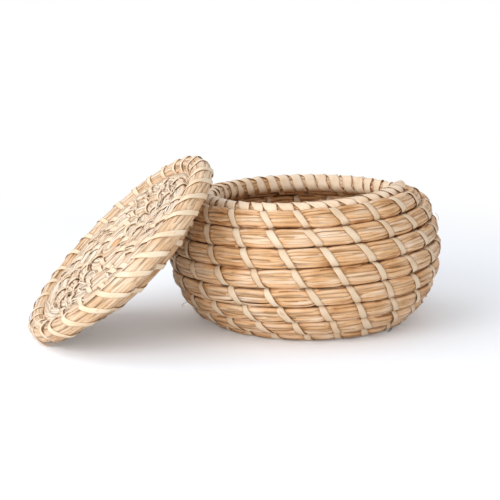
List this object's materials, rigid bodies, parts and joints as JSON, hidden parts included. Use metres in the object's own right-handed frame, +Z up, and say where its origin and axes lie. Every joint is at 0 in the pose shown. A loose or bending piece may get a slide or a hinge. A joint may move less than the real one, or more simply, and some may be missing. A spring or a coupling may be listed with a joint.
{
  "type": "tortilla warmer",
  "caption": "Round-bellied basket of coiled grass bundles bound with leaf strips, with a loose coiled lid leaning on its side, for keeping tortillas warm at the table.",
  "frame": {"origin": "Middle of the basket's foot, on the surface that it stands on.", "axes": "+Z up, the basket's own axis. +X points away from the leaning lid, which lies on the -X side. -Y is towards the viewer of the picture, turned 13 degrees to the viewer's left."},
  "size_m": [0.3674, 0.2467, 0.1508],
  "materials": {
    "grass_bundle": "dull dry straw",
    "leaf_strip": "satin dry leaf",
    "leaf_knot": "dull dry leaf"
  },
  "bodies": {
    "basket": {"base_centre_knot": "leaf_knot", "base_coil": "grass_bundle", "wall_coil": "grass_bundle", "rim_coil": "grass_bundle", "base_stitching": "leaf_strip", "wall_stitching_1": "leaf_strip", "wall_stitching_2": "leaf_strip", "wall_stitching_3": "leaf_strip", "wall_stitching_4": "leaf_strip", "wall_stitching_5": "leaf_strip", "wall_stitching_6": "leaf_strip", "wall_stitching_7": "leaf_strip", "wall_stitching_8": "leaf_strip", "rim_whipping": "leaf_strip"},
    "lid": {"lid_centre_knot": "leaf_knot", "lid_face_coil": "grass_bundle", "lid_edge_coil": "grass_bundle", "lid_locating_coil": "grass_bundle", "lid_face_stitching_1": "leaf_strip", "lid_face_stitching_2": "leaf_strip", "lid_face_stitching_3": "leaf_strip", "lid_face_stitching_4": "leaf_strip", "lid_face_stitching_5": "leaf_strip", "lid_edge_whipping": "leaf_strip", "lid_locating_stitching": "leaf_strip"}
  },
  "joints": [
    {"name": "lid_lift", "type": "slide", "parent": "basket", "child": "lid", "axis": [-0.6947, 0, 0.7193], "range_m": [0, 0.2]}
  ]
}
